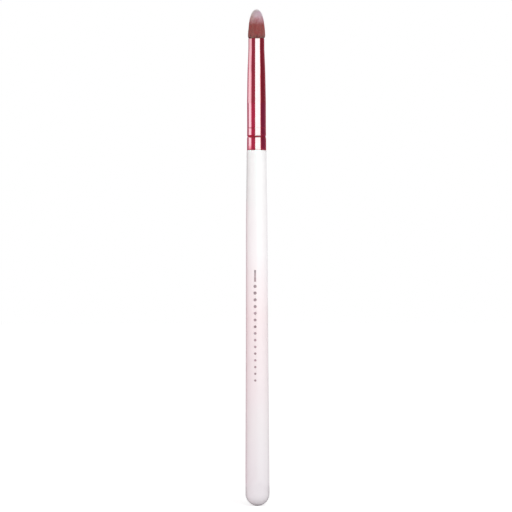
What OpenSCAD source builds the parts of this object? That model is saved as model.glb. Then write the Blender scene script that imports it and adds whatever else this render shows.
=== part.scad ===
// A round eyeshadow brush, upright, with its fibres up.
// The origin is on the brush's axis, halfway up the straight seat at the foot of the handle.

/* [Handle] */
// Length of the handle that shows, from the tip of the butt to the lower edge of the ferrule
handle_len = 125.1; // [80:0.1:180]
// Diameter of the straight seat near the butt, which a stand or rack holds
seat_d = 8.4; // [7.8:0.1:11]
// Length of the straight seat
seat_len = 10; // [4:0.1:20]
// Height of the rounded butt below the seat
butt_rise = 4.3; // [1:0.1:6]
// Diameter at the lower end of the neck, where the long taper begins
grip_d = 7.6; // [7.2:0.02:8.4]
// Diameter of the shoulder that the ferrule stands on
shoulder_d = 6.94; // [6.9:0.02:7.7]
// Length of the neck, from the shoulder down to the grip
neck_len = 32.5; // [15:0.1:50]
// Height of the rounded edge of the shoulder
shoulder_round = 0.3; // [0.1:0.05:0.6]
// Length of the tenon inside the ferrule
tenon_len = 13.7; // [10:0.1:18]
// Height of the bevel round the top of the tenon
tenon_bevel = 0.5; // [0.1:0.1:1]

/* [Ferrule] */
// Length of the ferrule
ferrule_len = 39.3; // [36:0.1:60]
// Thickness of its sheet
ferrule_wall = 0.3; // [0.15:0.05:0.5]
// Outer diameter at the lower edge
foot_d = 6.76; // [6.4:0.02:6.9]
// Height over which the foot draws in to the barrel
foot_len = 9.2; // [9:0.1:12]
// Outer diameter of the straight barrel, over which a travel cap slides
barrel_d = 6.6; // [6.2:0.02:6.9]
// Length of the straight barrel
barrel_len = 7.3; // [4:0.1:12]
// Outer diameter of the straight mouth
mouth_d = 5.64; // [4.6:0.02:6.1]
// Length of the straight mouth
mouth_len = 2.8; // [2.4:0.1:6]
// Radius of the rounded edge round the mouth
lip_round = 0.12; // [0.05:0.01:0.14]

/* [Crimps] */
// Height of the lower crimp above the ferrule's lower edge
crimp_height = 4.7; // [3:0.1:5]
// Distance from the lower crimp up to the upper one
crimp_pitch = 3; // [2:0.1:3.4]
// Width of each rolled groove
crimp_width = 1.2; // [0.6:0.1:1.4]
// Depth of the lower crimp
lower_crimp_depth = 0.16; // [0.1:0.02:0.4]
// Depth of the upper crimp
upper_crimp_depth = 0.04; // [0.04:0.02:0.4]

/* [Bristles] */
// Length of the bristles that show above the mouth
bristle_len = 10.55; // [6:0.05:16]
// Widest diameter of the head of bristles, just above the mouth
head_d = 6.02; // [5.2:0.02:6.2]
// Height above the mouth at which the head is widest
flare_len = 0.8; // [0.5:0.1:2]
// Strands along each side of the square grid that is drawn out to a round bundle
strands_across = 20; // [18:1:22]
// Most by which a strand is shorter than its neighbours
ruffle = 0.55; // [0:0.05:0.8]
// Thickness of the slice of packed roots, whose top is flush with the mouth
root_slice = 2.2; // [1:0.1:2.4]

/* [Resin and glue] */
// Length of the resin plug below the packed roots
plug_len = 11.5; // [4:0.1:12]
// Thickness of the glue between the tenon and the ferrule
glue_gap = 0.08; // [0.04:0.01:0.2]
// Clearance between the packed roots and the ferrule's bore
root_gap = 0.01; // [0.005:0.005:0.05]

/* [Hidden] */
$fn = 96;

// Heights, from the origin in the middle of the seat
seat_top = seat_len / 2;
butt_tip = -seat_top - butt_rise;
shoulder_z = butt_tip + handle_len;
grip_z = shoulder_z - neck_len;
tenon_top = shoulder_z + tenon_len;
barrel_z = shoulder_z + foot_len;
cone_z = barrel_z + barrel_len;
mouth_z = shoulder_z + ferrule_len;
mouth_foot_z = mouth_z - mouth_len;
lower_crimp_z = shoulder_z + crimp_height;
upper_crimp_z = lower_crimp_z + crimp_pitch;
root_foot = mouth_z - root_slice;
plug_foot = root_foot - plug_len;

// How finely curved outlines are drawn, in steps
arc_steps = 12;
taper_steps = 16;
neck_steps = 14;
cone_steps = 18;
foot_steps = 6;
crimp_steps = 10;

// The long taper widens slowly at first: the power of its course
taper_power = 1.45;
// Course of the ferrule's cone: how far up it is, and how much of the drop in radius is done
cone_shares = [[0, 0], [0.2, 0.12], [0.4, 0.25], [0.6, 0.44], [0.8, 0.74], [1, 1]];
// The head narrows by this share from the mouth to its top, and rounds over like a circle raised to a power
dome_taper_share = 0.12;
dome_power = 3.6;
// How far the strands have drawn in towards the axis at the head's top
draw_in_share = 0.3;
// Width of a strand at its belly and near its tip, as shares of its place in the grid
belly_share = 0.86;
upper_share = 0.8;
// Where the tip begins, as a share of the way from belly to end
tip_start_share = 0.72;
ruffle_seed = 7;

// Smooth course from 0 to 1, level at both ends
function eased(t) = t * t * (3 - 2 * t);

// Slope of a table of shares at its entry i, level at both ends
function table_slope(table, i) =
    i == 0 || i == len(table) - 1
    ? 0
    : (table[i + 1][1] - table[i - 1][1]) / (table[i + 1][0] - table[i - 1][0]);

// Smooth curve through a table of shares, read at t between its entries i and i + 1
function table_span(table, i, t) =
    let (
        span = table[i + 1][0] - table[i][0],
        u = (t - table[i][0]) / span,
        rise = table[i + 1][1] - table[i][1],
        start = table_slope(table, i) * span,
        end = table_slope(table, i + 1) * span
    )
    table[i][1] + u * (start + u * (3 * rise - 2 * start - end + u * (start + end - 2 * rise)));

function table_at(table, t) =
    table_span(table, max([for (i = [0 : len(table) - 2]) if (i == 0 || table[i][0] <= t) i]), t);

// Depth of one rolled groove at height z, as a wave that is level at its bottom and edges
function groove(z, groove_z, depth) =
    abs(z - groove_z) >= crimp_width / 2
    ? 0
    : depth * (1 + cos(360 * (z - groove_z) / crimp_width)) / 2;

// Radius of the sheet's outer face at height z, before the crimps are rolled
function drawn_r(z) =
    z >= mouth_foot_z ? mouth_d / 2
    : z >= cone_z
    ? barrel_d / 2 - (barrel_d - mouth_d) / 2
        * table_at(cone_shares, (z - cone_z) / (mouth_foot_z - cone_z))
    : z >= barrel_z ? barrel_d / 2
    : foot_d / 2 - (foot_d - barrel_d) / 2 * eased((z - shoulder_z) / foot_len);

function sheet_r(z) =
    drawn_r(z) - groove(z, lower_crimp_z, lower_crimp_depth) - groove(z, upper_crimp_z, upper_crimp_depth);

// Radius of the ferrule's bore, and of the tenon inside its sleeve of glue
function bore_r(z) = sheet_r(z) - ferrule_wall;
function tenon_r(z) = bore_r(z) - glue_gap;

// Evenly spaced heights from low to high, with both ends
function steps(low, high, count) = [for (i = [0 : count]) low + (high - low) * i / count];

// Heights at which the crimped foot is drawn, up to the straight barrel
function crimp_heights(groove_z) =
    steps(groove_z - crimp_width / 2, groove_z + crimp_width / 2, crimp_steps);

crimp_gap_z = (lower_crimp_z + upper_crimp_z) / 2;
foot_heights = concat(
    steps(shoulder_z, lower_crimp_z - crimp_width / 2, foot_steps),
    [for (z = crimp_heights(lower_crimp_z)) if (z > lower_crimp_z - crimp_width / 2) z],
    [crimp_gap_z],
    crimp_heights(upper_crimp_z),
    [barrel_z]
);
cone_heights = steps(cone_z, mouth_foot_z, cone_steps);

// A closed ring outline between two radii that both follow the same heights
function between(outer, inner) =
    concat(outer, [for (i = [len(inner) - 1 : -1 : 0]) inner[i]]);

// Radius of the bare handle at height z, from the seat up to the shoulder
function handle_r(z) =
    z >= grip_z
    ? (grip_d + (shoulder_d - grip_d) * eased((z - grip_z) / neck_len)) / 2
    : (grip_d + (seat_d - grip_d) * pow((grip_z - z) / (grip_z - seat_top), taper_power)) / 2;

// Handle: butt, seat, taper, neck, shoulder and the tenon with the crimps pressed into it
module handle() {
    butt = [
        for (i = [0 : arc_steps])
            let (a = 90 * i / arc_steps)
            [seat_d / 2 * sin(a), -seat_top - butt_rise * cos(a)]
    ];
    taper = [for (z = steps(seat_top, grip_z, taper_steps)) [handle_r(z), z]];
    neck_top = shoulder_z - shoulder_round;
    neck = [for (z = steps(grip_z, neck_top, neck_steps)) if (z > grip_z) [handle_r(z), z]];
    shoulder = [
        for (i = [1 : arc_steps / 2])
            let (a = 180 * i / arc_steps)
            [handle_r(neck_top) - shoulder_round * (1 - cos(a)) / 2, neck_top + shoulder_round * sin(a)]
    ];
    tenon = [
        for (z = concat(foot_heights, [tenon_top - tenon_bevel]))
            [tenon_r(z), z]
    ];
    color([0.97, 0.95, 0.96])
        rotate_extrude()
            polygon(concat(
                butt,
                taper,
                neck,
                shoulder,
                tenon,
                [[tenon_r(tenon_top) - tenon_bevel, tenon_top], [0, tenon_top]]
            ));
}

// Ferrule: a thin tube whose bore follows its outer face, with a rounded lip round the mouth
module ferrule() {
    lip_z = mouth_z - lip_round;
    heights = concat(foot_heights, cone_heights);
    outer = [for (z = heights) [sheet_r(z), z]];
    inner = [for (z = heights) [bore_r(z), z]];
    outer_lip = [
        for (i = [0 : arc_steps / 2])
            let (a = 180 * i / arc_steps)
            [mouth_d / 2 - lip_round * (1 - cos(a)), lip_z + lip_round * sin(a)]
    ];
    inner_lip = [
        for (i = [0 : arc_steps / 2])
            let (a = 180 * i / arc_steps)
            [bore_r(mouth_z) + lip_round * (1 - cos(a)), lip_z + lip_round * sin(a)]
    ];
    color([0.74, 0.16, 0.28])
        rotate_extrude()
            polygon(between(concat(outer, outer_lip), concat(inner, inner_lip)));
}

// Resin plug that binds the roots, following the bore
module root_plug() {
    heights = [for (z = cone_heights) if (z > plug_foot) z];
    wall = [for (z = concat([plug_foot], heights, [root_foot])) [bore_r(z), z]];
    color([0.72, 0.5, 0.26])
        rotate_extrude()
            polygon(concat([[0, plug_foot]], wall, [[0, root_foot]]));
}

// Thin sleeve of glue between the tenon and the ferrule's bore
module tenon_glue() {
    heights = concat(foot_heights, [tenon_top - tenon_bevel]);
    outer = [for (z = heights) [bore_r(z), z]];
    inner = [for (z = heights) [tenon_r(z), z]];
    color([0.86, 0.82, 0.7])
        rotate_extrude()
            polygon(between(outer, inner));
}

// Point of the unit disc for a point of the square from -1 to 1: squares become rings
function disc_point(u, v) =
    u == 0 && v == 0 ? [0, 0]
    : abs(u) > abs(v) ? u * [cos(45 * v / u), sin(45 * v / u)]
    : v * [sin(45 * u / v), cos(45 * u / v)];

function grid_point(i, j) =
    disc_point(2 * i / strands_across - 1, 2 * j / strands_across - 1);

// The four corners of a strand's place in the grid, anticlockwise from above
function place(i, j) =
    [grid_point(i, j), grid_point(i + 1, j), grid_point(i + 1, j + 1), grid_point(i, j + 1)];

function middle(points) = (points[0] + points[1] + points[2] + points[3]) / len(points);

// Width of the head's outline at height h above the mouth, as a share of its widest
function outline_share(h) =
    let (t = h / bristle_len)
    (1 - dome_taper_share * t) * sqrt(max(0, 1 - pow(t, dome_power)));

// Width of the grid at height h, as a share of its widest
function grid_share(h) = 1 - draw_in_share * pow(h / bristle_len, 2);

// Height at which a strand of this place in the grid meets the outline, found by halving
function end_height(place_share, low = 0, high = bristle_len, halvings = 20) =
    let (h = (low + high) / 2)
    halvings == 0 ? h
    : place_share * grid_share(h) > outline_share(h)
    ? end_height(place_share, low, h, halvings - 1)
    : end_height(place_share, h, high, halvings - 1);

// One ring of a strand's four corners, narrowed round its own middle
function strand_ring(corners, h, width_share) =
    [
        for (c = corners)
            let (
                place = middle(corners) + width_share * (c - middle(corners)),
                p = head_d / 2 * grid_share(h) * place
            )
            [p.x, p.y, mouth_z + h]
    ];

// Rings at the belly and where the tip begins, and the point of the tip
function strand_points(corners, cut) =
    let (
        end = end_height(norm(middle(corners))) - cut,
        tip_h = flare_len + tip_start_share * (end - flare_len),
        tip = head_d / 2 * grid_share(end) * middle(corners)
    )
    concat(
        strand_ring(corners, flare_len, belly_share),
        strand_ring(corners, tip_h, upper_share),
        [[tip.x, tip.y, mouth_z + end]]
    );

// The two triangles of one side of a strand, between the ring below and the ring above
function side(below, above, k) =
    [
        [below[(k + 1) % 4], below[k], above[k]],
        [below[(k + 1) % 4], above[k], above[(k + 1) % 4]]
    ];

// Bristles: strands that rise from the square places of one slice of packed roots
module bristle_tuft() {
    n = strands_across;
    root_r = bore_r(mouth_z) - root_gap;
    points_per_strand = 9;
    top = [for (i = [0 : n], j = [0 : n]) let (p = root_r * grid_point(i, j)) [p.x, p.y, mouth_z]];
    rim = concat(
        [for (i = [0 : n - 1]) i * (n + 1)],
        [for (j = [0 : n - 1]) n * (n + 1) + j],
        [for (i = [n : -1 : 1]) i * (n + 1) + n],
        [for (j = [n : -1 : 1]) j]
    );
    base = [for (g = rim) [top[g].x, top[g].y, root_foot]];
    cuts = rands(0, ruffle, n * n, ruffle_seed);
    strands = [
        for (i = [0 : n - 1], j = [0 : n - 1])
            each strand_points(place(i, j), cuts[i * n + j])
    ];
    base_start = len(top);
    base_middle = base_start + len(base);
    strands_start = base_middle + 1;
    strand_faces = [
        for (i = [0 : n - 1], j = [0 : n - 1])
            let (
                g = i * (n + 1) + j,
                s = strands_start + points_per_strand * (i * n + j),
                foot = [g, g + n + 1, g + n + 2, g + 1],
                belly = [s, s + 1, s + 2, s + 3],
                upper = [s + 4, s + 5, s + 6, s + 7],
                tip = s + points_per_strand - 1
            )
            for (k = [0 : 3])
                each concat(
                    side(foot, belly, k),
                    side(belly, upper, k),
                    [[upper[(k + 1) % 4], upper[k], tip]]
                )
    ];
    slice_faces = [
        for (k = [0 : len(rim) - 1])
            let (
                next = (k + 1) % len(rim),
                low = base_start + k,
                low_next = base_start + next
            )
            each [
                [low_next, low, rim[k]],
                [low_next, rim[k], rim[next]],
                [low, low_next, base_middle]
            ]
    ];
    color([0.66, 0.42, 0.46])
        polyhedron(
            points = concat(top, base, [[0, 0, root_foot]], strands),
            faces = concat(strand_faces, slice_faces)
        );
}

handle();
ferrule();
bristle_tuft();
root_plug();
tenon_glue();
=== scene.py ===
"""A slim eyeshadow brush, upright on a white ground.

White lacquered handle, rose-red drawn ferrule with two rolled crimps, domed head of two-tone fibres.
All sizes are in metres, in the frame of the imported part: Z runs up the brush's axis.
"""

import math

import bmesh
import bpy
import numpy as np
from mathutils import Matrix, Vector


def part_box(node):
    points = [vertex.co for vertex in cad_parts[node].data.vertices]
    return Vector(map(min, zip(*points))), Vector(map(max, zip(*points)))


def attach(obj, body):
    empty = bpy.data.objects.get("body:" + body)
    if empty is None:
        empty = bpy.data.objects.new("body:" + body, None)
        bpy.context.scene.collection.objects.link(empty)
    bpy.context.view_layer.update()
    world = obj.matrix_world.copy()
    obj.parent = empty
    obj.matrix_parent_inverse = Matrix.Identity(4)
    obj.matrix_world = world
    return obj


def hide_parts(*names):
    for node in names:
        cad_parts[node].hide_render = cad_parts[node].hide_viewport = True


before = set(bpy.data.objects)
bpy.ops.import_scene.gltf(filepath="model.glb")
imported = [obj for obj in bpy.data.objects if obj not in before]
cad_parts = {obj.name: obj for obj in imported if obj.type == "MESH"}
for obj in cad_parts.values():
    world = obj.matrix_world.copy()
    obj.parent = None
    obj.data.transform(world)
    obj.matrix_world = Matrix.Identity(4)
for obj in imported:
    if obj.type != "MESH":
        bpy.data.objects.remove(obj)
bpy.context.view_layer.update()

MM = 0.001

# Heights of the brush, from the frame
BUTT_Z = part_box("handle")[0].z
TENON_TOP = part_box("handle")[1].z
SHOULDER_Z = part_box("ferrule")[0].z
MOUTH_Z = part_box("ferrule")[1].z
TIP_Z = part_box("bristle_tuft")[1].z
MIDDLE_Z = (BUTT_Z + TIP_Z) / 2

# Handle
SEAT_R = 4.2 * MM
SEAT_TOP = 5 * MM
BUTT_RISE = 4.3 * MM
GRIP_R = 3.8 * MM
SHOULDER_R = 3.47 * MM
NECK_LEN = 32.5 * MM
SHOULDER_ROUND = 0.3 * MM
TENON_BEVEL = 0.5 * MM
TAPER_POWER = 1.45

# Sides of the turned pieces, and distance of the ring that keeps smooth shading to a rounded edge
HANDLE_SIDES = 96
FERRULE_SIDES = 112
EDGE_HOLD = 0.08 * MM

# Points nearer than the first are merged, and points within the second of a height are at it
MERGE_WITHIN = 0.0005 * MM
AT_HEIGHT = 0.001 * MM
# Edges that turn by more than this stay sharp
SHARP_TURN = math.radians(40)

# Ferrule
SHEET = 0.3 * MM
GLUE_GAP = 0.08 * MM
FOOT_R = 3.38 * MM
FOOT_LEN = 9.2 * MM
BARREL_R = 3.3 * MM
BARREL_LEN = 7.3 * MM
MOUTH_R = 2.82 * MM
MOUTH_LEN = 2.8 * MM
LIP_ROUND = 0.12 * MM
# Height above the foot, depth and width of each crimp
CRIMPS = ((4.7 * MM, 0.17 * MM, 1.26 * MM), (7.7 * MM, 0.03 * MM, 0.5 * MM))
# Below 1, this power gives a groove steeper sides and a narrower bottom than a plain wave
CRIMP_POWER = 0.6
CONE_SHARES = ((0, 0), (0.2, 0.12), (0.4, 0.25), (0.6, 0.44), (0.8, 0.74), (1, 1))

# Head of fibres: a rounded dome on a slight flare, leaning a little to the right
HEAD_LEN = TIP_Z - MOUTH_Z
HEAD_R = 3.0 * MM
HEAD_SHIFT = 0.11 * MM
BORE_R = 2.5 * MM
FLARE_LEN = 0.6 * MM
ROOT_LEN = 2 * MM
DOME_POWER = 3.6
DOME_TAPER = 0.12
DRAW_IN = 0.3
CORE_SHARE = 0.72
SEED = 20

# One fibre, with its rings as shares of its length
FIBRES_A_PIECE = 1500
FIBRE_R = 0.052 * MM
FIBRE_RINGS = (0.1, 0.2, 0.28, 0.42, 0.56, 0.7, 0.84)
# Heights above the mouth of a fibre's three lowest rings, where the bundle opens out
WAIST_HEIGHTS = (-0.1 * MM, 0.35 * MM, 0.9 * MM)
AT_RING = 0.001
NARROWS_FROM = 0.42
NARROWING = 0.8
NARROWING_POWER = 1.6

# How the fibres differ
OUTERMOST_SHARE = 0.985
RADIUS_SPREAD = 0.3
PLACE_SPREAD = 0.008
TIP_SHORTFALL = 0.14 * MM
LEAST_HEIGHT = 3.2 * MM
STRAY = 0.06 * MM
WAVE = 0.03 * MM
WAVE_BENDS = 9
WAVE_PHASES = 6.28

# Printed foil: a bar and a row of dots that shrink towards the butt
FOIL_TURN = math.radians(-9.9)
FOIL_THICK = 0.03 * MM
BAR_SIZE = (0.64 * MM, 4.1 * MM)
BAR_BEVEL = 0.008 * MM
BAR_MIDDLE = 71.6 * MM
DOT_TOP = 67.9 * MM
DOT_STEP = 2.36 * MM
DOT_RADII = (0.58 * MM, 0.38 * MM)
DOTS = 15
# A dot's wall and crown as shares of its thickness, and the crown's inset as a share of its radius
DOT_WALL = 0.7
DOT_CROWN = 0.3
DOT_INSET = 0.06

# The photograph: its side in pixels, the butt's row, the brush's middle column and its lean
PHOTO_PX = 512
BUTT_ROW = 505.7
MIDDLE_COLUMN = 256.87
LEAN = math.radians(0.155)
PX = (TIP_Z - BUTT_Z) / 497.1

# Studio: the room's level on the brush, the screens' distance, and the shelves with a hole for the neck
ROOM_LEVEL = 0.485
SCREEN_AWAY = 0.12
SHELF_Z = 0.113
SHELF_UNDER_Z = 0.1128
SHELF_THICK = 0.1 * MM
SHELF_HOLE_R = 12.5 * MM
NEAR_SHELF_R = 24 * MM
NEAR_SHELF_HOLE_R = 11.2 * MM


def row_z(row):
    """Height in the frame of a row of the photograph."""
    return BUTT_Z + (BUTT_ROW - row) * PX


def eased(t):
    return t * t * (3 - 2 * t)


def evenly(low, high, count):
    return [low + (high - low) * i / count for i in range(count + 1)]


# Outlines of the turned pieces, as points of radius and height


def handle_r(z):
    """Radius of the bare handle between the seat and the shoulder."""
    grip_z = SHOULDER_Z - NECK_LEN
    if z >= grip_z:
        return GRIP_R + (SHOULDER_R - GRIP_R) * eased((z - grip_z) / NECK_LEN)
    return GRIP_R + (SEAT_R - GRIP_R) * ((grip_z - z) / (grip_z - SEAT_TOP)) ** TAPER_POWER


def cone_share(t):
    """Share of the cone's drop in radius that is done at share t of its height, on a smooth curve."""

    def slope(i):
        if i in (0, len(CONE_SHARES) - 1):
            return 0
        (low_t, low), (high_t, high) = CONE_SHARES[i - 1], CONE_SHARES[i + 1]
        return (high - low) / (high_t - low_t)

    i = max(k for k in range(len(CONE_SHARES) - 1) if k == 0 or CONE_SHARES[k][0] <= t)
    (start_t, start), (end_t, end) = CONE_SHARES[i], CONE_SHARES[i + 1]
    span = end_t - start_t
    u = (t - start_t) / span
    rise, rise_in, rise_out = end - start, slope(i) * span, slope(i + 1) * span
    square = 3 * rise - 2 * rise_in - rise_out
    cube = rise_in + rise_out - 2 * rise
    return start + u * (rise_in + u * (square + u * cube))


def sheet_r(z):
    """Radius of the ferrule's outer face, with the crimps rolled in."""
    cone_z = SHOULDER_Z + FOOT_LEN + BARREL_LEN
    mouth_foot = MOUTH_Z - MOUTH_LEN
    if z >= mouth_foot:
        r = MOUTH_R
    elif z >= cone_z:
        r = BARREL_R - (BARREL_R - MOUTH_R) * cone_share((z - cone_z) / (mouth_foot - cone_z))
    elif z >= SHOULDER_Z + FOOT_LEN:
        r = BARREL_R
    else:
        r = FOOT_R - (FOOT_R - BARREL_R) * eased((z - SHOULDER_Z) / FOOT_LEN)
    for height, depth, width in CRIMPS:
        off = abs(z - SHOULDER_Z - height) / (width / 2)
        if off < 1:
            r -= depth * (1 + math.cos(math.pi * off**CRIMP_POWER)) / 2
    return r


def foot_heights():
    """Heights of the crimped foot, close together in the grooves."""
    (low, _, low_width), (high, _, high_width) = CRIMPS
    low_foot, low_top = SHOULDER_Z + low - low_width / 2, SHOULDER_Z + low + low_width / 2
    high_foot, high_top = SHOULDER_Z + high - high_width / 2, SHOULDER_Z + high + high_width / 2
    return (
        evenly(SHOULDER_Z, low_foot, 6)[:-1]
        + evenly(low_foot, low_top, 20)
        + evenly(low_top, high_foot, 5)[1:-1]
        + evenly(high_foot, high_top, 16)
    )


def handle_outline():
    """From the rounded butt up to the shoulder, and on up the hidden tenon."""
    butt = [
        (SEAT_R * math.sin(a), -SEAT_TOP - BUTT_RISE * math.cos(a))
        for a in evenly(0, math.pi / 2, 24)[1:]
    ]
    grip_z = SHOULDER_Z - NECK_LEN
    edge_z = SHOULDER_Z - SHOULDER_ROUND
    edge_r = handle_r(edge_z)
    body, neck = evenly(SEAT_TOP, grip_z, 30), evenly(grip_z, edge_z, 24)[1:-1]
    heights = body + neck + [edge_z - EDGE_HOLD, edge_z]
    shoulder = [
        (edge_r - SHOULDER_ROUND * (1 - math.cos(a)), edge_z + SHOULDER_ROUND * math.sin(a))
        for a in evenly(0, math.pi / 2, 8)[1:]
    ]
    tenon_end = TENON_TOP - TENON_BEVEL
    tenon = [(sheet_r(z) - SHEET - GLUE_GAP, z) for z in foot_heights() + [tenon_end]]
    tip = [(tenon[-1][0] - TENON_BEVEL, TENON_TOP)]
    return butt + [(handle_r(z), z) for z in heights] + shoulder + tenon + tip


def ferrule_outline():
    """Outer face upwards, round the lip, and the bore downwards."""
    cone_z = SHOULDER_Z + FOOT_LEN + BARREL_LEN
    mouth_foot = MOUTH_Z - MOUTH_LEN
    lip_z = MOUTH_Z - LIP_ROUND
    barrel = evenly(SHOULDER_Z + FOOT_LEN, cone_z, 4)
    heights = foot_heights() + barrel[:-1] + evenly(cone_z, mouth_foot, 36)
    hold_z = lip_z - EDGE_HOLD
    lip_middle = MOUTH_R - SHEET / 2
    lip = [
        (lip_middle + SHEET / 2 * math.cos(a), lip_z + LIP_ROUND * math.sin(a))
        for a in evenly(0, math.pi, 14)
    ]
    outer = [(sheet_r(z), z) for z in heights] + [(MOUTH_R, hold_z)]
    return outer + lip + [(r - SHEET, z) for r, z in reversed(outer)]


# Modelling by hand


def begin():
    """Nothing selected, and no piece in edit mode."""
    if bpy.context.object and bpy.context.object.mode != "OBJECT":
        bpy.ops.object.mode_set(mode="OBJECT")
    bpy.ops.object.select_all(action="DESELECT")


def pick(piece, wanted):
    """Selects the points of the piece that are wanted, in edit mode."""
    bpy.ops.object.mode_set(mode="OBJECT")
    place = piece.matrix_world
    for face in piece.data.polygons:
        face.select = False
    for edge in piece.data.edges:
        edge.select = False
    for point in piece.data.vertices:
        point.select = wanted(place @ point.co)
    bpy.ops.object.mode_set(mode="EDIT")


def finish(piece):
    """Faces outwards, smooth but for its sharp edges, and its place in its mesh."""
    bpy.ops.mesh.select_all(action="SELECT")
    bpy.ops.mesh.remove_doubles(threshold=MERGE_WITHIN)
    bpy.ops.mesh.normals_make_consistent(inside=False)
    bpy.ops.object.mode_set(mode="OBJECT")
    bpy.ops.object.transform_apply(location=True, rotation=True, scale=True)
    bpy.ops.object.shade_smooth_by_angle(angle=SHARP_TURN)
    return piece


def turned(name, outline, sides):
    """A ring is drawn from station to station of the outline, and is left open at both ends."""
    begin()
    r, z = outline[0]
    bpy.ops.mesh.primitive_circle_add(vertices=sides, radius=r, location=(0, 0, z))
    piece = bpy.context.object
    piece.name = name
    bpy.ops.object.mode_set(mode="EDIT")
    for (r, z), (next_r, next_z) in zip(outline, outline[1:]):
        bpy.ops.mesh.extrude_region_move(TRANSFORM_OT_translate={"value": (0, 0, next_z - z)})
        size = next_r / r
        bpy.ops.transform.resize(value=(size, size, 1), center_override=(0, 0, next_z))
    return piece


def close_end(piece, height, pole_height):
    """Draws the open ring at a height in to a point on the axis."""
    pick(piece, lambda place: abs(place.z - height) < AT_HEIGHT)
    bpy.ops.mesh.extrude_region_move(TRANSFORM_OT_translate={"value": (0, 0, pole_height - height)})
    bpy.ops.mesh.merge(type="CENTER")


def put_on(piece, slot, material, *nodes):
    """The piece rides on the brush, takes its finish, and stands for CAD nodes."""
    piece.data.materials.clear()
    piece.data.materials.append(material)
    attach(piece, "root")
    if nodes:
        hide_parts(*nodes)


def handle():
    outline = handle_outline()
    piece = turned("lacquered_handle", outline, HANDLE_SIDES)
    close_end(piece, outline[0][1], BUTT_Z)
    close_end(piece, outline[-1][1], TENON_TOP)
    put_on(finish(piece), "lacquered_wood", white_lacquer(), "handle")


def ferrule():
    """A tube whose outline comes back to its start, so that it closes on itself."""
    outline = ferrule_outline()
    piece = turned("drawn_ferrule", outline + outline[:1], FERRULE_SIDES)
    put_on(finish(piece), "anodised_metal", rose_metal(), "ferrule")


# Foil print


def foil_place(piece, height):
    """Sets a flat piece of foil, drawn lying down, upright on the handle's front at a height."""
    r = handle_r(height) - FOIL_THICK / 2
    piece.location = (r * math.sin(FOIL_TURN), -r * math.cos(FOIL_TURN), height)
    piece.rotation_euler = (math.pi / 2, 0, FOIL_TURN)
    bpy.ops.object.transform_apply(location=True, rotation=True, scale=True)


def foil_bar():
    begin()
    bpy.ops.mesh.primitive_plane_add(size=1)
    bar = bpy.context.object
    bar.name = "foil_bar"
    bpy.ops.object.mode_set(mode="EDIT")
    bpy.ops.transform.resize(value=(*BAR_SIZE, 1), center_override=(0, 0, 0))
    bpy.ops.mesh.extrude_region_move(TRANSFORM_OT_translate={"value": (0, 0, FOIL_THICK)})
    pick(bar, lambda place: place.z > FOIL_THICK / 2)
    bpy.ops.mesh.bevel(offset=BAR_BEVEL, segments=2)
    finish(bar)
    foil_place(bar, BAR_MIDDLE)
    return bar


def foil_dot():
    """One domed dot of a metre's radius and height, of which each printed dot is a smaller copy."""
    begin()
    bpy.ops.mesh.primitive_circle_add(vertices=20, radius=1, fill_type="NGON")
    dot = bpy.context.object
    dot.name = "foil_dot"
    bpy.ops.object.mode_set(mode="EDIT")
    bpy.ops.mesh.extrude_region_move(TRANSFORM_OT_translate={"value": (0, 0, DOT_WALL)})
    bpy.ops.mesh.inset(thickness=DOT_INSET, depth=DOT_CROWN)
    finish(dot)
    return dot


def foil_dots():
    first = foil_dot()
    dots = []
    for i in range(DOTS):
        begin()
        dot = first.copy()
        dot.data = first.data.copy()
        bpy.context.collection.objects.link(dot)
        bpy.context.view_layer.objects.active = dot
        dot.select_set(True)
        r = DOT_RADII[0] + (DOT_RADII[1] - DOT_RADII[0]) * i / (DOTS - 1)
        dot.scale = (r, r, FOIL_THICK)
        foil_place(dot, DOT_TOP - i * DOT_STEP)
        dots.append(dot)
    bpy.data.objects.remove(first)
    return dots


def foil_print():
    bar = foil_bar()
    dots = foil_dots()
    begin()
    bpy.context.view_layer.objects.active = dots[0]
    for dot in dots:
        dot.select_set(True)
    bpy.ops.object.join()
    material = rose_foil()
    for piece, name in ((bar, "foil_bar"), (dots[0], "foil_dots")):
        piece.name = name
        put_on(piece, "lacquered_wood", material)


# Fibres


def fibre():
    """One four-sided fibre, one unit long, that narrows to a point and has seven rings on its way."""
    begin()
    bpy.ops.mesh.primitive_cone_add(vertices=4, radius1=1, radius2=0, depth=1, location=(0, 0, 0.5))
    one = bpy.context.object
    one.name = "fibre"
    bpy.ops.object.transform_apply(location=True, rotation=True, scale=True)
    bpy.ops.object.mode_set(mode="EDIT")
    for share in FIBRE_RINGS:
        bpy.ops.mesh.select_all(action="SELECT")
        bpy.ops.mesh.bisect(plane_co=(0, 0, share), plane_no=(0, 0, 1))
    bpy.ops.mesh.select_all(action="SELECT")
    bpy.ops.mesh.normals_make_consistent(inside=False)
    bpy.ops.object.mode_set(mode="OBJECT")
    return one


def outline_share(h):
    """Width of the head at height h above the mouth, as a share of its widest."""
    t = h / HEAD_LEN
    return (1 - DOME_TAPER * t) * np.sqrt(np.clip(1 - t**DOME_POWER, 0, None))


def spread_share(h):
    """Width of the bundle of fibres at height h, as a share of its widest."""
    t = np.clip(h / FLARE_LEN, 0, 1)
    waist = BORE_R / HEAD_R
    opening = waist + (1 - waist) * t * (2 - t)
    return opening * (1 - DRAW_IN * (np.clip(h, 0, None) / HEAD_LEN) ** 2)


def end_heights(shares):
    """Height at which a fibre that stands at each share of the radius meets the head's outline."""
    low, high = np.zeros_like(shares), np.full_like(shares, HEAD_LEN)
    for _ in range(30):
        h = (low + high) / 2
        inside = shares * spread_share(h) < outline_share(h)
        low, high = np.where(inside, h, low), np.where(inside, high, h)
    return low


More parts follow.
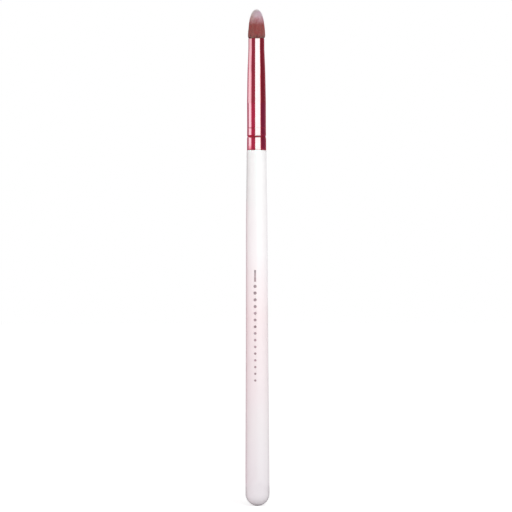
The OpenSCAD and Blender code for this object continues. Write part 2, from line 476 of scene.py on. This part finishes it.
def fibre_points(one, shares, angles, tones, chance):
    """Points of every fibre: each rises from the mouth, opens out, draws in and ends at the dome."""
    count = len(shares)
    v = one[:, 2]
    ends = end_heights(np.clip(shares, 0, OUTERMOST_SHARE))
    ends -= np.abs(chance.normal(0, TIP_SHORTFALL, count))
    ends = np.maximum(ends, LEAST_HEIGHT)[:, None]
    waist_v, waist_h = FIBRE_RINGS[2], WAIST_HEIGHTS[2]
    t = np.clip((v - waist_v) / (1 - waist_v), 0, 1)[None, :]
    heights = waist_h + (ends - waist_h) * t
    heights[:, v < AT_RING] = -ROOT_LEN
    for share, h in zip(FIBRE_RINGS, WAIST_HEIGHTS):
        heights[:, np.abs(v - share) < AT_RING] = h

    reach = np.clip(heights / HEAD_LEN, 0, 1)
    radius = HEAD_R * shares[:, None] * spread_share(heights)
    stray = chance.normal(0, STRAY, (2, count, 1)) * reach**2
    wave = WAVE * np.sin(WAVE_BENDS * reach + WAVE_PHASES * tones[:, None])
    lean = HEAD_SHIFT * np.clip(heights / FLARE_LEN, 0, 1)
    x = radius * np.cos(angles[:, None]) + stray[0] + wave * np.sin(angles[:, None]) + lean
    y = radius * np.sin(angles[:, None]) + stray[1] - wave * np.cos(angles[:, None])

    towards_tip = np.clip((v - NARROWS_FROM) / (1 - NARROWS_FROM), 0, 1)
    narrowing = 1 - NARROWING * towards_tip**NARROWING_POWER
    narrowing[v > 1 - AT_RING] = 0
    own_r = FIBRE_R * (1 - RADIUS_SPREAD / 2 + RADIUS_SPREAD * chance.random((count, 1)))
    thick = own_r * narrowing[None, :]
    side = np.arctan2(one[:, 1], one[:, 0])[None, :] + chance.random((count, 1)) * math.pi / 2
    return np.stack([x + thick * np.cos(side), y + thick * np.sin(side), MOUTH_Z + heights], -1)


def bundle(name, one, inner, outer, chance):
    """A ring of the head: copies of one fibre, spread evenly between two shares of the radius."""
    i = np.arange(FIBRES_A_PIECE)
    shares = np.sqrt(inner**2 + (outer**2 - inner**2) * (i + 0.5) / FIBRES_A_PIECE)
    shares = np.clip(shares + chance.normal(0, PLACE_SPREAD, len(i)), 0, 1)
    golden_angle = math.pi * (3 - math.sqrt(5))
    angles = i * golden_angle
    tones = chance.random(len(i))
    template = np.array([point.co for point in one.data.vertices])
    all_points = fibre_points(template, shares, angles, tones, chance)

    gathered = bmesh.new()
    for points in all_points:
        copy = one.data.copy()
        copy.vertices.foreach_set("co", points.ravel())
        gathered.from_mesh(copy)
        bpy.data.meshes.remove(copy)
    mesh = bpy.data.meshes.new(name)
    gathered.to_mesh(mesh)
    gathered.free()
    tone = mesh.attributes.new("tone", "FLOAT", "POINT")
    tone.data.foreach_set("value", np.repeat(tones, len(template)).astype(np.float32))
    mesh.shade_smooth()
    piece = bpy.data.objects.new(name, mesh)
    bpy.context.collection.objects.link(piece)
    return piece


def head():
    chance = np.random.default_rng(SEED)
    one = fibre()
    material = two_tone_fibre()
    for name, inner, outer in (("fibres_core", 0, CORE_SHARE), ("fibres_outside", CORE_SHARE, 1)):
        piece = bundle(name, one, inner, outer, chance)
        put_on(piece, "bristle_fibre", material, "bristle_tuft")
    bpy.data.objects.remove(one)


# Finishes


class Finish:
    """One procedural material: its node tree and its main shader."""

    def __init__(self, name, **values):
        self.material = bpy.data.materials.new(name)
        self.material.use_nodes = True
        self.tree = self.material.node_tree
        self.shader = self.tree.nodes["Principled BSDF"]
        for socket, value in values.items():
            self.shader.inputs[socket.replace("_", " ")].default_value = value

    def node(self, kind, **settings):
        made = self.tree.nodes.new("ShaderNode" + kind)
        for name, value in settings.items():
            setattr(made, name, value)
        return made

    def join(self, start, end):
        self.tree.links.new(start, end)

    def feed(self, socket, value):
        self.join(value, self.shader.inputs[socket])

    def place(self, scale=None):
        """Object coordinates, stretched along each axis where a scale is given."""
        place = self.node("TexCoord").outputs["Object"]
        if scale is None:
            return place
        mapping = self.node("Mapping")
        mapping.inputs["Scale"].default_value = scale
        self.join(place, mapping.inputs["Vector"])
        return mapping.outputs["Vector"]

    def along(self, axis):
        made = self.node("SeparateXYZ")
        self.join(self.place(), made.inputs["Vector"])
        return made.outputs[axis]

    def height(self):
        return self.along("Z")

    def noise(self, scale, detail=2.0, stretch=None):
        made = self.node("TexNoise")
        made.inputs["Scale"].default_value = scale
        made.inputs["Detail"].default_value = detail
        self.join(self.place(stretch), made.inputs["Vector"])
        return made.outputs["Fac"]

    def between(self, value, low, high, to_low=0.0, to_high=1.0):
        """The value, taken from one range to another."""
        made = self.node("MapRange")
        ends = {"From Min": low, "From Max": high, "To Min": to_low, "To Max": to_high}
        for socket, number in ends.items():
            made.inputs[socket].default_value = number
        self.join(value, made.inputs["Value"])
        return made.outputs["Result"]

    def maths(self, operation, first, second):
        """Two values, or a value and a number, taken together."""
        made = self.node("Math", operation=operation)
        for socket, value in zip(made.inputs, (first, second)):
            if isinstance(value, (int, float)):
                socket.default_value = value
            else:
                self.join(value, socket)
        return made.outputs["Value"]

    def ramp(self, value, *stops):
        """Colours along a value, as stops of place and colour."""
        made = self.node("ValToRGB")
        steps = made.color_ramp.elements
        while len(steps) < len(stops):
            steps.new(0.5)
        for step, (at, colour) in zip(steps, stops):
            step.position = at
            step.color = (*colour, 1)
        self.join(value, made.inputs["Fac"])
        return made.outputs["Color"]

    def blend(self, share, first, second, how="MIX"):
        """Two colours, mixed by a number or a value. The Mix node has its colours at these sockets."""
        colour_a, colour_b, colour_out = 6, 7, 2
        made = self.node("Mix", data_type="RGBA", blend_type=how)
        if isinstance(share, (int, float)):
            made.inputs["Factor"].default_value = share
        else:
            self.join(share, made.inputs["Factor"])
        self.join(first, made.inputs[colour_a])
        self.join(second, made.inputs[colour_b])
        return made.outputs[colour_out]

    def bump(self, height, strength, distance):
        made = self.node("Bump")
        made.inputs["Strength"].default_value = strength
        made.inputs["Distance"].default_value = distance
        self.join(height, made.inputs["Height"])
        self.feed("Normal", made.outputs["Normal"])


def white_lacquer():
    """White lacquer, pink at mid height, with painted light and shade along its height (lighter at the
    butt, darker low down and at the shoulder), over bare wood on the hidden tenon.
    """
    paint = Finish(
        "white_lacquer", Specular_IOR_Level=0.1, Coat_Weight=1.0, Coat_Roughness=0.04, Coat_IOR=1.7
    )
    height = paint.height()
    cloud = paint.between(paint.noise(60, 3), 0.3, 0.7, -4 * MM, 4 * MM)
    along = paint.between(paint.maths("ADD", height, cloud), BUTT_Z, SHOULDER_Z)
    # Painted light and shade: the white steps lighter and darker along the height to follow how the
    # lamps fall on the handle; the pink at mid height is its tint
    white = paint.ramp(
        along,
        (0.02, (0.97, 0.915, 0.95)),
        (0.09, (0.89, 0.84, 0.87)),
        (0.2, (0.905, 0.86, 0.875)),
        (0.3, (0.925, 0.845, 0.865)),
        (0.55, (0.96, 0.84, 0.855)),
        (0.72, (0.965, 0.93, 0.94)),
        (1.0, (0.905, 0.9, 0.895)),
    )
    grain = paint.noise(900, 4, (1, 1, 0.06))
    wood = paint.ramp(grain, (0.3, (0.58, 0.42, 0.26)), (0.7, (0.72, 0.56, 0.38)))
    bare = paint.between(height, SHOULDER_Z - 0.02 * MM, SHOULDER_Z + 0.02 * MM)
    paint.feed("Base Color", paint.blend(bare, white, wood))
    haze = paint.between(paint.noise(260, 4), 0.3, 0.75, 0.32, 0.42)
    paint.feed("Roughness", paint.maths("ADD", haze, paint.maths("MULTIPLY", bare, 0.4)))
    paint.bump(paint.noise(420, 3), 0.04, 0.02 * MM)
    return paint.material


def rose_metal():
    """Polished rose-red anodising, with fine drawing lines along the tube."""
    paint = Finish("rose_metal", Metallic=1.0, Coat_Weight=1.0, Coat_Roughness=0.04, Coat_IOR=1.55)
    drawn = paint.noise(9000, 3, (1, 1, 0.012))
    cloud = paint.noise(160, 3)
    lines, patches = paint.maths("MULTIPLY", drawn, 0.35), paint.maths("MULTIPLY", cloud, 0.65)
    tone = paint.maths("ADD", lines, patches)
    rose = paint.ramp(
        tone, (0.3, (0.7, 0.042, 0.07)), (0.5, (0.78, 0.05, 0.085)), (0.72, (0.84, 0.062, 0.1))
    )
    paint.feed("Base Color", rose)
    paint.feed("Roughness", paint.between(tone, 0.3, 0.75, 0.05, 0.1))
    paint.bump(drawn, 0.005, 0.01 * MM)
    return paint.material


def two_tone_fibre():
    """Brown-red from the root, darkened just above the mouth as painted shade, pale rose at the tip,
    greener to one side and purpler to the other, with patches and each fibre a little different.
    """
    paint = Finish("two_tone_fibre", Specular_IOR_Level=0.3, Sheen_Weight=0.24, Sheen_Roughness=0.5)
    own = paint.node("Attribute", attribute_name="tone").outputs["Fac"]
    patch = paint.between(paint.noise(500, 2), 0.3, 0.7, -0.6 * MM, 0.6 * MM)
    uneven = paint.maths("ADD", patch, paint.between(own, 0, 1, -0.5 * MM, 0.5 * MM))
    along = paint.between(paint.maths("ADD", paint.height(), uneven), MOUTH_Z, TIP_Z)
    # Two-tone dye from brown-red to pale rose; the first two stops darken the fibres just above the
    # ferrule's mouth as painted shade
    dye_and_mouth_shade = paint.ramp(
        along,
        (0.0, (0.16, 0.018, 0.016)),
        (0.1, (0.32, 0.03, 0.032)),
        (0.42, (0.37, 0.034, 0.038)),
        (0.49, (0.46, 0.09, 0.1)),
        (0.6, (0.66, 0.3, 0.34)),
        (0.69, (0.87, 0.56, 0.61)),
        (0.8, (0.99, 0.78, 0.84)),
        (1.0, (1.0, 0.86, 0.89)),
    )
    # Tinted greener towards -X and purpler towards +X, with an uneven boundary between the two
    uneven_side_edge = paint.between(paint.noise(420, 2), 0.3, 0.7, -0.35, 0.35)
    across = paint.maths("ADD", paint.between(paint.along("X"), -HEAD_R, HEAD_R), uneven_side_edge)
    tint = paint.ramp(across, (0.1, (0.95, 1.0, 0.9)), (0.9, (1.0, 0.9, 1.0)))
    side_tinted = paint.blend(1.0, dye_and_mouth_shade, tint, "MULTIPLY")
    shade = paint.ramp(own, (0.0, (0.91, 0.91, 0.91)), (1.0, (1.0, 1.0, 1.0)))
    paint.feed("Base Color", paint.blend(1.0, side_tinted, shade, "MULTIPLY"))
    paint.feed("Roughness", paint.between(own, 0, 1, 0.45, 0.62))
    return paint.material


def amber_resin():
    paint = Finish("amber_resin", IOR=1.5, Coat_Weight=0.3)
    tone = paint.noise(600, 4)
    paint.feed("Base Color", paint.ramp(tone, (0.3, (0.46, 0.22, 0.06)), (0.7, (0.6, 0.34, 0.12))))
    paint.feed("Roughness", paint.between(tone, 0.3, 0.7, 0.25, 0.45))
    return paint.material


def pale_glue():
    paint = Finish("pale_glue", IOR=1.48)
    tone = paint.noise(1200, 4)
    paint.feed("Base Color", paint.ramp(tone, (0.3, (0.66, 0.6, 0.42)), (0.7, (0.78, 0.74, 0.58))))
    paint.feed("Roughness", paint.between(tone, 0.3, 0.7, 0.4, 0.65))
    return paint.material


def rose_foil():
    """Thin foil, worn a little unevenly."""
    paint = Finish("rose_foil", Metallic=0.3)
    wear = paint.noise(1100, 4)
    paint.feed("Base Color", paint.ramp(wear, (0.35, (0.36, 0.26, 0.28)), (0.65, (0.6, 0.37, 0.43))))
    paint.feed("Roughness", paint.between(wear, 0.3, 0.7, 0.35, 0.5))
    return paint.material


def ground_white():
    """Plain pale ground that takes the shadow, and glows for camera and gloss, more so far away. For
    the brush's own shading it also glows as painted bounce light, fading out within 14 mm of the butt,
    which leaves the butt's underside darker.
    """
    paint = Finish("ground_white", Roughness=0.9, Specular_IOR_Level=0.0)
    paint.shader.inputs["Base Color"].default_value = (0.8, 0.8, 0.8, 1)
    paint.shader.inputs["Emission Color"].default_value = (1, 1, 1, 1)
    away = paint.node("VectorMath", operation="LENGTH")
    paint.join(paint.place(), away.inputs[0])
    glow = paint.between(away.outputs["Value"], 0.03, 0.25, 0.5, 0.63)
    # Painted bounce light: a glow seen only by rays other than camera and gloss, none within 3 mm of
    # the butt
    painted_bounce_glow = paint.between(away.outputs["Value"], 3 * MM, 14 * MM, 0, 0.4)
    ray = paint.node("LightPath").outputs
    seen = paint.maths("MAXIMUM", ray["Is Camera Ray"], ray["Is Glossy Ray"])
    unseen = paint.between(seen, 0, 1, 1, 0)
    shown, given = paint.maths("MULTIPLY", glow, seen), paint.maths("MULTIPLY", painted_bounce_glow, unseen)
    paint.feed("Emission Strength", paint.maths("ADD", shown, given))
    return paint.material


def plain_glow(name, colour, strength):
    """What the screens and flags are made of."""
    paint = Finish(name, Specular_IOR_Level=0.0)
    paint.shader.inputs["Base Color"].default_value = (0, 0, 0, 1)
    paint.shader.inputs["Emission Color"].default_value = (*colour, 1)
    paint.shader.inputs["Emission Strength"].default_value = strength
    return paint.material


# Studio. Azimuth 0 is the camera's side of the brush, and 90 its right


def camera():
    """Long lens, level with the middle of the picture, rolled by the brush's slight lean."""
    data = bpy.data.cameras.new("camera")
    data.lens = 300
    data.sensor_width = 36
    data.clip_end = 20
    made = bpy.data.objects.new("camera", data)
    bpy.context.collection.objects.link(made)
    away = PHOTO_PX * PX * data.lens / data.sensor_width
    made.location = (-(MIDDLE_COLUMN - PHOTO_PX / 2) * PX, -away, row_z(PHOTO_PX / 2))
    made.rotation_euler = (math.pi / 2, LEAN, 0)
    bpy.context.scene.camera = made


def lamp(name, azimuth, height, away, size, power, colour=(1, 1, 1), aim_z=MIDDLE_Z):
    """Square softbox that faces the brush, at its middle or at another height."""
    data = bpy.data.lights.new(name, "AREA")
    data.size = size
    data.energy = power
    data.color = colour
    made = bpy.data.objects.new(name, data)
    a = math.radians(azimuth)
    made.location = (away * math.sin(a), -away * math.cos(a), height)
    aim = made.location - Vector((0, 0, aim_z))
    made.rotation_euler = aim.to_track_quat("Z", "Y").to_euler()
    made.visible_camera = False
    made.visible_glossy = False
    bpy.context.collection.objects.link(made)


def for_gloss(made, colour, strength):
    """Only gloss sees it, and it is no part of the brush."""
    made.data.materials.append(plain_glow(made.name, colour, strength))
    made.visible_camera = False
    made.visible_diffuse = False
    made.visible_shadow = False
    made.visible_transmission = False


def screen(name, low, high, foot, top, colour, strength, away=SCREEN_AWAY, in_to=SCREEN_AWAY):
    """Curved screen round the brush between two azimuths, drawn in to another radius at its top."""
    begin()
    bpy.ops.mesh.primitive_circle_add(vertices=360, radius=away, location=(0, 0, foot))
    made = bpy.context.object
    made.name = name

    def outside(place):
        azimuth = math.degrees(math.atan2(place.x, -place.y))
        return (azimuth - low) % 360 > high - low

    pick(made, outside)
    bpy.ops.mesh.delete(type="VERT")
    bpy.ops.mesh.select_all(action="SELECT")
    bpy.ops.mesh.extrude_region_move(TRANSFORM_OT_translate={"value": (0, 0, top - foot)})
    size = in_to / away
    bpy.ops.transform.resize(value=(size, size, 1), center_override=(0, 0, top))
    bpy.ops.object.mode_set(mode="OBJECT")
    for_gloss(made, colour, strength)


def shelf(name, low, high, height, colour, strength, away=SCREEN_AWAY, hole_r=SHELF_HOLE_R):
    """Flat screen round the neck between two azimuths, from its outer radius in to a hole."""
    screen(name, low, high, height, height + SHELF_THICK, colour, strength, away, hole_r)


def flag(name, height, radius, colour):
    """Flat dark disc above or below the brush."""
    begin()
    place = (0, 0, height)
    bpy.ops.mesh.primitive_circle_add(vertices=64, radius=radius, fill_type="NGON", location=place)
    bpy.context.object.name = name
    for_gloss(bpy.context.object, colour, 1)


def white_room():
    """White world for the camera, gloss and glass, and a softer one for the brush's own shading."""
    world = bpy.data.worlds.new("white_room")
    bpy.context.scene.world = world
    world.use_nodes = True
    nodes, links = world.node_tree.nodes, world.node_tree.links
    back = nodes["Background"]
    back.inputs["Color"].default_value = (1, 1, 1, 1)
    ray = nodes.new("ShaderNodeLightPath").outputs
    seen = ray["Is Camera Ray"]
    for other in ("Is Glossy Ray", "Is Transmission Ray"):
        either = nodes.new("ShaderNodeMath")
        either.operation = "MAXIMUM"
        links.new(seen, either.inputs[0])
        links.new(ray[other], either.inputs[1])
        seen = either.outputs["Value"]
    level = nodes.new("ShaderNodeMapRange")
    level.inputs["To Min"].default_value = ROOM_LEVEL
    links.new(seen, level.inputs["Value"])
    links.new(level.outputs["Result"], back.inputs["Strength"])


def ground():
    begin()
    bpy.ops.mesh.primitive_plane_add(size=8, location=(0, 0, BUTT_Z))
    floor = bpy.context.object
    floor.name = "floor"
    floor.data.materials.append(ground_white())


def screens():
    """What the red metal and the lacquer mirror. Teal light comes back from the metal as white."""
    # Heights where zones meet, a little above the stretches of the ferrule that mirror them
    foot, foot_left, barrel_left, cone = 0.1185, 0.1198, 0.1215, 0.137
    lip, lip_left, top = 0.153, 0.175, 0.21
    strip, strip_level = (0.13, 1, 0.74), 10.3
    fade, fade_level = (0.34, 1, 0.83), 3.2
    lacquer_left, lacquer_right = (0.12, 0.13, 0.13), (0.85, 0.83, 0.86)

    # Name, azimuths from and to, heights from and to, colour and strength
    for row in (
        ("front_strip", -16, 47, foot, lip, strip, strip_level),
        ("front_strip_lip", -16, 50, lip, top, strip, strip_level),
        ("front_fade", 47, 52, foot, cone, fade, fade_level),
        ("front_fade_up", 47, 54, cone, lip, fade, fade_level),
        ("front_fade_lip", 50, 53, lip, top, fade, fade_level),
        ("left_foot", -107, -66, foot, foot_left, (0.6, 1, 0.98), 1.3),
        ("left_foot_up", -107, -66, foot_left, barrel_left, (0.38, 1, 0.96), 3.4),
        ("left_strip", -107, -66, barrel_left, cone, (0.24, 1, 0.88), 5.9),
        ("left_strip_up", -115, -66, cone, lip, (0.26, 1, 0.86), 4.7),
        ("left_strip_lip", -115, -69, lip, lip_left, (0.26, 1, 0.86), 4.4),
        ("left_dark", -65, -17, foot, cone, (0.5, 0.27, 0.48), 1),
        ("left_dark_up", -65, -17, cone, lip, (0.36, 0.3, 0.38), 1),
        ("left_dark_lip", -68, -17, lip, top, (0.34, 0.28, 0.36), 1),
        ("right_dark", 53, 130, foot, cone, (0.22, 0.14, 0.27), 1),
        ("right_dark_up", 55, 130, cone, top, (0.23, 0.14, 0.18), 1),
        ("right_limb", 131, 179, foot, top, (0.3, 0.02, 0.06), 1),
        ("left_edge", -126, -108, foot, cone, (0.5, 0.85, 0.92), 1),
        ("left_edge_up", -126, -116, cone, top, (0.72, 1.5, 1.5), 1),
        ("left_limb", -180, -127, foot, lip, (0.46, 0.16, 0.3), 1),
        ("left_limb_lip", -180, -127, lip, top, (0.6, 0.6, 0.65), 1),
        ("low_left", -180, 0, -0.009, 0.1, (0.26, 0.05, 0.1), 1),
        ("low_left_up", -180, 0, 0.1, foot, lacquer_left, 1),
        ("low_right", 1, 179, -0.009, 0.06, (0.66, 0.62, 0.64), 1),
        ("low_right_up", 1, 179, 0.06, foot, lacquer_right, 1),
    ):
        screen(*row)

    # The upper slope of each crimp looks down on these, and the neck looks up at the last two
    shelf("shelf_left", -180, -20, SHELF_Z, (0.47, 0.13, 0.28), 1)
    shelf("shelf_front", -20, 48, SHELF_Z, strip, strip_level, SCREEN_AWAY, NEAR_SHELF_R)
    shelf("shelf_near", -20, 48, SHELF_Z, (0.32, 1.0, 0.9), 1, NEAR_SHELF_R, NEAR_SHELF_HOLE_R)
    shelf("shelf_right", 48, 179, SHELF_Z, (0.24, 0.08, 0.22), 1)
    shelf("shelf_under_left", -180, 0, SHELF_UNDER_Z, lacquer_left, 1)
    shelf("shelf_under_right", 1, 179, SHELF_UNDER_Z, lacquer_right, 1)
    flag("over", 0.31, 0.7, (0.4, 0.32, 0.36))
    flag("under", BUTT_Z + 0.05 * MM, 0.12, (0.05, 0.04, 0.045))


def studio():
    bpy.context.scene.view_settings.view_transform = "Standard"
    white_room()
    ground()
    lamp("key", azimuth=8, height=0.36, away=0.42, size=0.3, power=1.03)
    lamp("crown", azimuth=5, height=0.235, away=0.11, size=0.06, power=0.03, aim_z=TIP_Z)
    lamp("blush", azimuth=-95, height=0.1, away=0.45, size=0.3, power=0.16, colour=(1, 0.35, 0.45))
    screens()


def dress(node, material):
    """Gives a node of the frame its finish."""
    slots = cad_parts[node].data.materials
    slots.clear()
    slots.append(material)


camera()
studio()
handle()
ferrule()
foil_print()
head()
dress("root_plug", amber_resin())
dress("tenon_glue", pale_glue())
